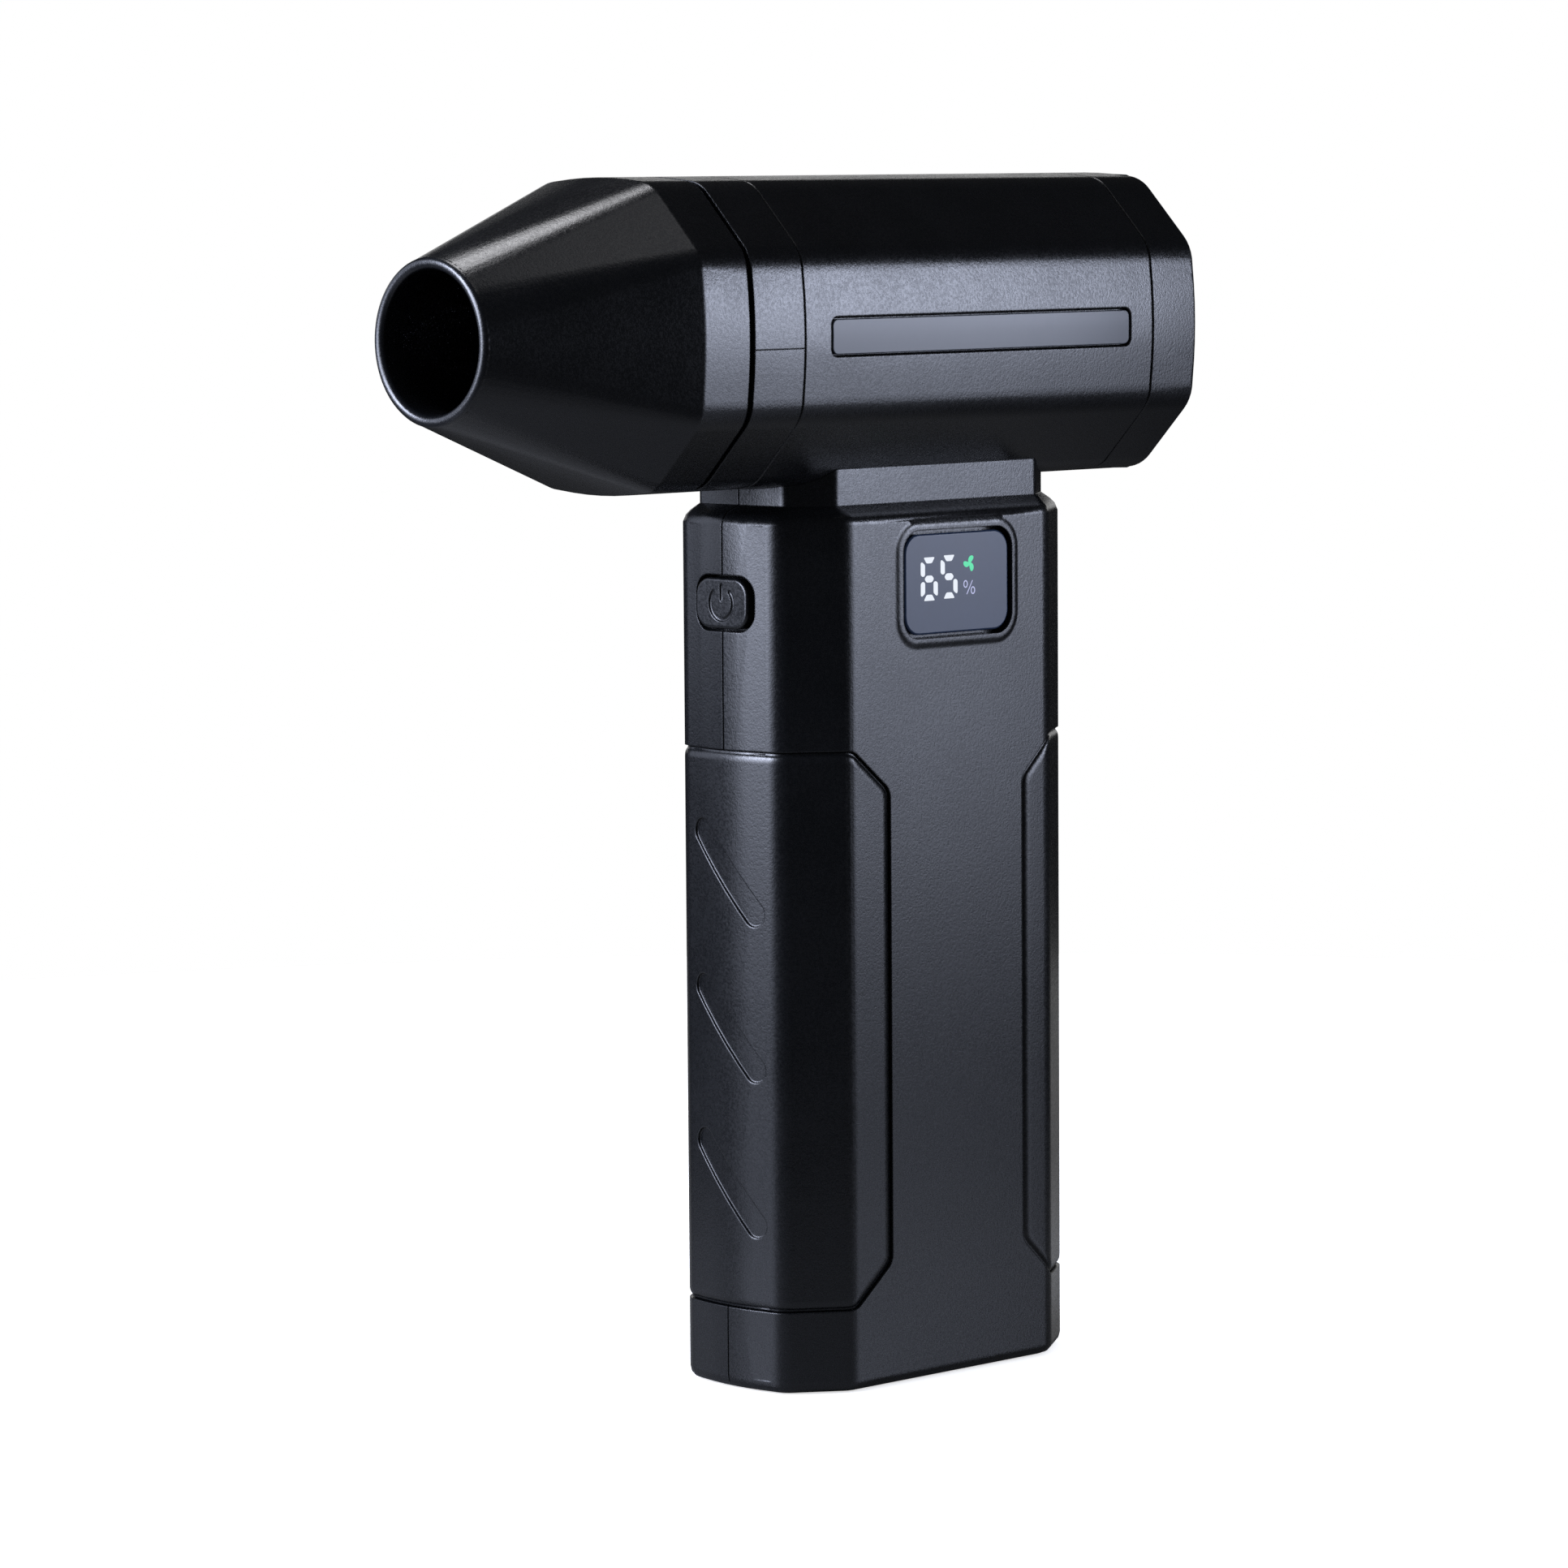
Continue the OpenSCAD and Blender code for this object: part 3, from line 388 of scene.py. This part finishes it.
def crisp_nozzle():
    """The nozzle with its skirt and cone run on to a sharper edge between them than the solid has."""
    skirt_len, eased, crisp = 9.9 * MM, 1.5 * MM, 0.3 * MM
    sliver, near = 0.03 * MM, 0.05 * MM
    edge_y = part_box("nozzle")[1].y - skirt_len
    mesh, bm = open_copy("nozzle", sliver)
    on_skirt, on_cone = ([v for v in bm.verts if abs(v.co.y - y) < near]
                         for y in (edge_y + eased, edge_y - eased))
    points = [Vector((v.co.x, v.co.z)) for v in on_skirt]
    outline = [points[i] for i in convex_hull_2d(points)]

    def on_outline(here):
        nearest = []
        for a, b in zip(outline, outline[1:] + outline[:1]):
            share = (here - a).dot(b - a) / max((b - a).length_squared, 1e-12)
            nearest.append(a.lerp(b, min(max(share, 0.0), 1.0)))
        return min(nearest, key=lambda p: (p - here).length)

    for v, here in zip(on_skirt, points):
        there = on_outline(here)
        v.co = (there.x, edge_y + crisp, there.y)
    for v in on_cone:
        here = Vector((v.co.x, v.co.z))
        there = here.lerp(on_outline(here), 1 - crisp / eased)
        v.co = (there.x, edge_y - crisp, there.y)
    bmesh.ops.dissolve_degenerate(bm, edges=bm.edges, dist=0.001 * MM)
    nozzle = add_piece("nozzle_body", close_mesh(bm, mesh), "nozzle_plastic", "nozzle_unit")
    soften(nozzle, BEVELS["nozzle"])
    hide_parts("nozzle")


def flush_shell():
    """The right shell without the slips of two display bosses that come through the solid's rear corner."""
    boss_r, boss_y, boss_zs, boss_end = 2.2 * MM, 24 * MM, (109 * MM, 138.5 * MM), 17.2 * MM
    corner_y, slack = boss_y + 0.8 * MM, 0.02 * MM
    mesh, bm = open_copy("handle_shell_right", WELD)

    def proud(v):
        off = min(math.hypot(v.co.y - boss_y, v.co.z - z) for z in boss_zs)
        return off < boss_r + slack and v.co.x > boss_end - MM and v.co.y > corner_y

    def of_boss(face):
        is_end = all(abs(v.co.x - boss_end) < 0.003 * MM for v in face.verts)
        return all(proud(v) for v in face.verts) and (is_end or abs(face.normal.x) < 0.05)

    bm.normal_update()
    bmesh.ops.delete(bm, geom=[f for f in bm.faces if of_boss(f)], context="FACES")
    bmesh.ops.holes_fill(bm, edges=[e for e in bm.edges if e.is_boundary])
    bmesh.ops.recalc_face_normals(bm, faces=bm.faces)
    shell = add_piece("handle_shell_right_skin", close_mesh(bm, mesh), "shell_plastic")
    soften(shell)
    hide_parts("handle_shell_right")


# ---------------------------------------------------------------- display's reading

lens_low, lens_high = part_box("display_lens")
lens_mid, lens_x = (lens_low + lens_high) / 2, lens_high.x
GLYPH_PROUD, GLYPH_SUNK = 0.03 * MM, 0.01 * MM
RING_POINTS = 24


def softened(points, radius):
    """A closed outline whose corners are cut back by up to `radius` along curves."""
    out, steps = [], 3
    for i, corner in enumerate(points):
        p = Vector(corner)
        last, following = Vector(points[i - 1]), Vector(points[(i + 1) % len(points)])
        a = p + (last - p) * min(radius / (last - p).length, 0.45)
        b = p + (following - p) * min(radius / (following - p).length, 0.45)
        for k in range(steps + 1):
            t = k / steps
            out.append(a * (1 - t) ** 2 + p * 2 * t * (1 - t) + b * t * t)
    return out


def lit_shapes(name, outlines, light, rings=()):
    """Thin lit shapes on the lens. Outlines are closed, in millimetres from the lens's centre, as it is
    read; a ring is (centre, half width, half height, stroke)."""
    bm = bmesh.new()

    def row(points, x):
        return [bm.verts.new((x, lens_mid.y + y * MM, lens_mid.z + z * MM)) for y, z in points]

    for outline in outlines:
        foot, face = row(outline, lens_x - GLYPH_SUNK), row(outline, lens_x + GLYPH_PROUD)
        bm.faces.new(face)
        band(bm, foot, face)
    for (cy, cz), half_w, half_h, stroke in rings:
        turns = [2 * math.pi * k / RING_POINTS for k in range(RING_POINTS)]
        edges = [[(cy + (half_w + o) * math.cos(t), cz + (half_h + o) * math.sin(t)) for t in turns]
                 for o in (-stroke / 2, stroke / 2)]
        inner, outer = (row(edge, lens_x + GLYPH_PROUD) for edge in edges)
        low_inner, low_outer = (row(edge, lens_x - GLYPH_SUNK) for edge in edges)
        band(bm, inner, outer)
        band(bm, outer, low_outer)
        band(bm, low_inner, inner)
    add_piece(name, new_mesh(bm, name), "lens_gloss", material=light)


# Seven-segment digit, 4 wide and 7.2 high, in millimetres from its centre
DIGIT_W, DIGIT_H, STROKE = 2.0, 3.6, 1.0
LEVEL_OUT, LEVEL_IN = 1.3, 0.64
WAIST, TALL = 0.58, 2.72
WAIST_BAR = [(-1.12, 0.0), (-0.62, 0.57), (0.62, 0.57), (1.12, 0.0), (0.62, -0.57), (-0.62, -0.57)]


def level_bar(side):
    out_z, in_z = side * DIGIT_H, side * (DIGIT_H - STROKE)
    return [(-LEVEL_OUT, out_z), (LEVEL_OUT, out_z), (LEVEL_IN, in_z), (-LEVEL_IN, in_z)]


def upright_bar(side, up):
    out, into = side * DIGIT_W, side * (DIGIT_W - STROKE)
    return [(out, up * (WAIST + 0.1)), (side * (DIGIT_W - STROKE / 2), up * (WAIST - 0.2)),
            (into, up * WAIST), (into, up * (TALL - 0.35)), (side * (DIGIT_W - 0.3), up * (TALL + 0.15)),
            (out, up * TALL)]


def fan_outline(centre, reach, hub):
    """Three swirled blades round a hub."""
    out, points, swirl, start = [], 72, 0.45, math.radians(82)
    for k in range(points):
        t = 2 * math.pi * k / points
        lobe = (0.5 + 0.5 * math.cos(3 * t)) ** 0.75
        rad = hub + (reach - hub) * lobe
        a = start + t - swirl * (rad / reach) ** 1.5
        out.append((centre[0] + rad * math.cos(a), centre[1] + rad * math.sin(a)))
    return out


def make_reading():
    """The charge reading: two digits, a fan for the speed, and a percent sign."""
    six = [level_bar(1), upright_bar(-1, 1), WAIST_BAR, upright_bar(-1, -1), upright_bar(1, -1),
           level_bar(-1)]
    five = [six[0], six[1], six[2], six[4], six[5]]
    digits = [softened([(y + place, z + lift) for y, z in bar], 0.28)
              for bars, place, lift in ((six, -6.55, 0.85), (five, -1.87, 1.0)) for bar in bars]
    lit_shapes("display_digits", digits, glowing("digit_light", (0.88, 0.93, 1.0), 0.86))
    lit_shapes("display_fan_sign", [fan_outline((2.99, 3.0), 1.45, 0.3)],
               glowing("fan_sign_light", (0.06, 0.74, 0.35), 0.95))
    slash = [(2.22, -2.13), (2.42, -2.13), (3.79, 0.14), (3.59, 0.14)]
    naughts = [(centre, 0.42, 0.55, 0.2) for centre in ((2.04, -0.41), (3.78, -1.53))]
    lit_shapes("display_percent_sign", [slash], glowing("percent_light", (0.5, 0.52, 0.8), 0.88), naughts)


# ---------------------------------------------------------------- power button

ARC_POINTS, ROLL_STEPS, TUBE_POINTS = 9, 7, 16


def button_blank(face_y, mid_z):
    """The cap with a rolled rim round its face, its flange and its plunger, as rows of vertices."""
    width, height, corner, rim = 12.2 * MM, 8.3 * MM, 3 * MM, 0.5 * MM
    wide, high = width + 3.4 * MM, height + 3 * MM
    cap_depth, flange_depth, plunger_depth, plunger_r = 4.05 * MM, 0.8 * MM, 0.8 * MM, 1.6 * MM
    nearly_round = 0.999   # keeps the plunger's arcs from meeting in shared points
    bm = bmesh.new()

    def ring(depth, w, h, radius):
        row = []
        for quarter in range(4):
            cx = (w / 2 - radius) * (1 if quarter in (0, 3) else -1)
            cz = (h / 2 - radius) * (1 if quarter in (0, 1) else -1)
            for k in range(ARC_POINTS):
                a = quarter * math.pi / 2 + math.pi / 2 * k / (ARC_POINTS - 1)
                row.append(bm.verts.new((cx + radius * math.cos(a), face_y + depth,
                                         mid_z + cz + radius * math.sin(a))))
        return row

    rows = []
    for k in range(ROLL_STEPS, -1, -1):
        a = math.pi / 2 * k / ROLL_STEPS
        inset = rim * (1 - math.cos(a))
        rows.append(ring(rim * (1 - math.sin(a)), width - 2 * inset, height - 2 * inset, corner - inset))
    rows += [ring(cap_depth, width, height, corner), ring(cap_depth, wide, high, corner),
             ring(cap_depth + flange_depth, wide, high, corner)]
    rows += [ring(cap_depth + flange_depth + depth, 2 * plunger_r, 2 * plunger_r,
                  plunger_r * nearly_round) for depth in (0, plunger_depth)]
    skin(bm, rows)
    return new_mesh(bm, "cap_blank")


def power_symbol(face_y, mid_z):
    """Round bars half sunk in the cap's face, along the symbol's broken ring and its upright stroke."""
    ring_r, groove, gap, steps = 2.68 * MM, 0.36 * MM, math.radians(36), 60
    bm = bmesh.new()

    def tube(path):
        """A round bar along points in (x, z), with pointed ends."""
        rows, last = [], len(path) - 1
        for i, p in enumerate(path):
            ahead = (path[min(i + 1, last)] - path[max(i - 1, 0)]).normalized()
            side = Vector((-ahead.y, ahead.x))
            size = groove * (0.05 if i in (0, last) else 0.8 if i in (1, last - 1) else 1.0)
            turns = [2 * math.pi * k / TUBE_POINTS for k in range(TUBE_POINTS)]
            rows.append([bm.verts.new((p.x + side.x * size * math.cos(t),
                                       face_y - size * 0.9 * math.sin(t),
                                       mid_z + p.y + side.y * size * math.cos(t))) for t in turns])
        skin(bm, rows)

    turns = [gap + 2 * (math.pi - gap) * k / steps for k in range(steps + 1)]
    tube([Vector((math.sin(t), math.cos(t))) * ring_r for t in turns])
    tube([Vector((0, z * MM)) for z in (0.25, 0.45, 0.7, 1.5, 2.4, 2.95, 3.15, 3.35)])
    return new_mesh(bm, "symbol_cutter")


def engraved_button():
    """The button's cap, with a power symbol cut into its face."""
    low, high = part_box("power_button")
    cap, cutter = (add_object(make.__name__, make(low.y, (low.z + high.z) / 2))
                   for make in (button_blank, power_symbol))
    cut = cap.modifiers.new("symbol", "BOOLEAN")
    cut.object, cut.operation, cut.solver = cutter, "DIFFERENCE", "EXACT"
    made = bpy.data.meshes.new_from_object(cap.evaluated_get(bpy.context.evaluated_depsgraph_get()))
    made.name = "button_cap"
    made.shade_smooth()
    made.set_sharp_from_angle(angle=math.radians(32))
    for spare in (cap, cutter):
        bpy.data.objects.remove(spare)
    button = add_piece("button_cap", made, "button_plastic", "button_unit")
    weight_normals(button, 100)
    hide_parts("power_button")


make_reading()
crisp_nozzle()
flush_shell()
engraved_button()


# ---------------------------------------------------------------- lamps

MIDDLE = Vector((0, 0, 0.1))
COOL, NEUTRAL = (0.9, 0.975, 1.22), (1.0, 1.0, 1.04)


def softbox(name, azimuth, elevation, distance, size, radiance, foot=1.0, rise=0.0, near=0.0, far=0.0,
            colour=COOL):
    """An area lamp that looks at the object. Its radiance is the share `foot` at its lower edge and up to
    the share `rise` of its height, and grows from there to its top. It fades to nothing over the shares
    `near` and `far` of its width, at its sides of least and greatest azimuth."""
    data = bpy.data.lights.new(name, "AREA")
    data.shape, data.size, data.size_y = "RECTANGLE", size[0], size[1]
    data.energy, data.color = radiance * math.pi * size[0] * size[1], colour
    g = Graph(data, "OutputLight")
    across = g.node("SeparateXYZ", Vector=g.node("NewGeometry").outputs["Parametric"]).outputs
    strength = g.ramp(across["Y"], rise, 1.0, foot, 1.0, "SMOOTHSTEP")
    if near:
        strength = g.math("MULTIPLY", strength, g.ramp(across["X"], 0.0, near, 0.0, 1.0, "SMOOTHSTEP"))
    if far:
        strength = g.math("MULTIPLY", strength, g.ramp(across["X"], 1.0 - far, 1.0, 1.0, 0.0, "SMOOTHSTEP"))
    g.show(g.node("Emission", Strength=strength))
    lamp = add_object(name, data)
    lamp.location = MIDDLE + towards(azimuth, elevation) * distance
    lamp.rotation_mode = "QUATERNION"
    lamp.rotation_quaternion = (MIDDLE - lamp.location).to_track_quat("-Z", "Y")
    lamp.visible_camera = False


softbox("softbox_right", 119, 5.2, 0.5, (0.38, 0.25), 15.0, foot=0.23, rise=0.15, near=0.9, far=0.1)
softbox("softbox_left", 347, 14, 0.5, (0.46, 0.4), 31.0, foot=0.12, near=0.2, far=0.78)
softbox("fill_left", 302, 16, 0.6, (0.22, 0.4), 1.3)
softbox("top_light", 280, 77, 0.5, (0.15, 0.15), 9.5, colour=NEUTRAL)
softbox("fill_top", 99, 73, 0.5, (0.12, 0.12), 0.9, colour=NEUTRAL)


# ---------------------------------------------------------------- floor and world

FLOOR_R, FLOOR_POINTS = 0.55, 96
FLOOR_DROP = 0.2 * MM   # the floor stays clear of the base
FLOOR_GLOW = 0.64       # added to the lamps' light on the floor to make it white
FLOOR_GLOSS = 0.6       # share of its gloss that the floor keeps where it isn't looked at
# Distance from the middle, and the grey that the floor has there where it isn't looked at
NEAR_FLOOR, FAR_FLOOR = (0.13, 0.19), (0.24, 0.04)
# The white backdrop that gloss shows: its azimuth, how far its sides fade (as the cosine of the angle from
# its middle) and between which heights (as the sine of the elevation) its lower and upper edges fade
BACKDROP_AZIMUTH, BACKDROP_SIDES = 226, (0.7, 0.82)
BACKDROP_FOOT, BACKDROP_TOP = (0.02, 0.06), (0.16, 0.26)
ROOM_GLOSS, ROOM_LIGHT = 0.015, 0.5   # the rest of the room, in gloss and as light on matt faces


def floor_paper():
    """White paper where it is looked at. What lights the object from below, and shows in its gloss, is a
    dim floor with a sheen, because the lower faces in the photograph mirror no white floor."""
    g = material_graph("floor_paper")
    path = g.node("LightPath").outputs
    looked_at = g.math("ADD", path["Is Camera Ray"], path["Is Transmission Ray"], True)
    (near, near_grey), (far, far_grey) = NEAR_FLOOR, FAR_FLOOR
    dim = g.ramp(g.vector_math("LENGTH", g.coord), near, far, near_grey, far_grey)
    white = g.mix(g.noise(20 * MM, 3.0), rgb(0.8, 0.8, 0.8), rgb(0.84, 0.84, 0.84))
    paper = g.node("BsdfDiffuse", Color=g.mix(looked_at, dim, white))
    shine = g.node("BsdfGlossy", Color=rgb(1, 1, 1), Roughness=0.12)
    unseen = g.math("SUBTRACT", FLOOR_GLOSS, g.math("MULTIPLY", looked_at, FLOOR_GLOSS))
    sealed = g.node("MixShader", Fac=g.math("MULTIPLY", g.node("Fresnel", IOR=1.4).outputs[0], unseen))
    g.put(sealed.inputs[1], paper.outputs[0])
    g.put(sealed.inputs[2], shine.outputs[0])
    both = g.node("AddShader")
    g.put(both.inputs[0], sealed.outputs[0])
    g.put(both.inputs[1], g.node("Emission", Strength=g.math("MULTIPLY", looked_at, FLOOR_GLOW)).outputs[0])
    return g.show(both)


def make_floor():
    turns = [2 * math.pi * k / FLOOR_POINTS for k in range(FLOOR_POINTS)]
    rim = [(FLOOR_R * math.cos(t), FLOOR_R * math.sin(t), 0.0) for t in turns]
    mesh = bpy.data.meshes.new("floor")
    mesh.from_pydata(rim, [], [tuple(range(FLOOR_POINTS))])
    mesh.materials.append(floor_paper())
    floor = add_object("floor", mesh)
    floor.location.z = cad_low.z - FLOOR_DROP


def make_world():
    """White where it is looked at. In gloss, a dark room with the lamps, the floor and, behind the object,
    the white backdrop over it."""
    world = bpy.data.worlds.new("studio")
    bpy.context.scene.world = world
    g = Graph(world, "OutputWorld")
    heading = g.node("TexCoord").outputs["Generated"]
    up = g.node("SeparateXYZ", Vector=heading).outputs["Z"]
    ahead = g.vector_math("DOT_PRODUCT", heading, towards(BACKDROP_AZIMUTH, 0))
    between_sides = g.ramp(ahead, *BACKDROP_SIDES, kind="SMOOTHSTEP")
    above_foot = g.ramp(up, *BACKDROP_FOOT, kind="SMOOTHSTEP")
    below_top = g.ramp(up, *BACKDROP_TOP, 1.0, 0.0, "SMOOTHSTEP")
    backdrop = g.math("MULTIPLY", between_sides, g.math("MULTIPLY", above_foot, below_top))
    path = g.node("LightPath").outputs
    looked_at = g.math("ADD", path["Is Camera Ray"], path["Is Transmission Ray"], True)
    gloss = g.math("MULTIPLY", path["Is Glossy Ray"], g.math("ADD", backdrop, ROOM_GLOSS))
    unlooked = g.math("ADD", gloss, g.math("MULTIPLY", path["Is Diffuse Ray"], ROOM_LIGHT))
    g.show(g.node("Background", Color=rgb(1, 1, 1), Strength=g.math("ADD", looked_at, unlooked)))


make_floor()
make_world()

bpy.context.scene.view_settings.view_transform = "Standard"
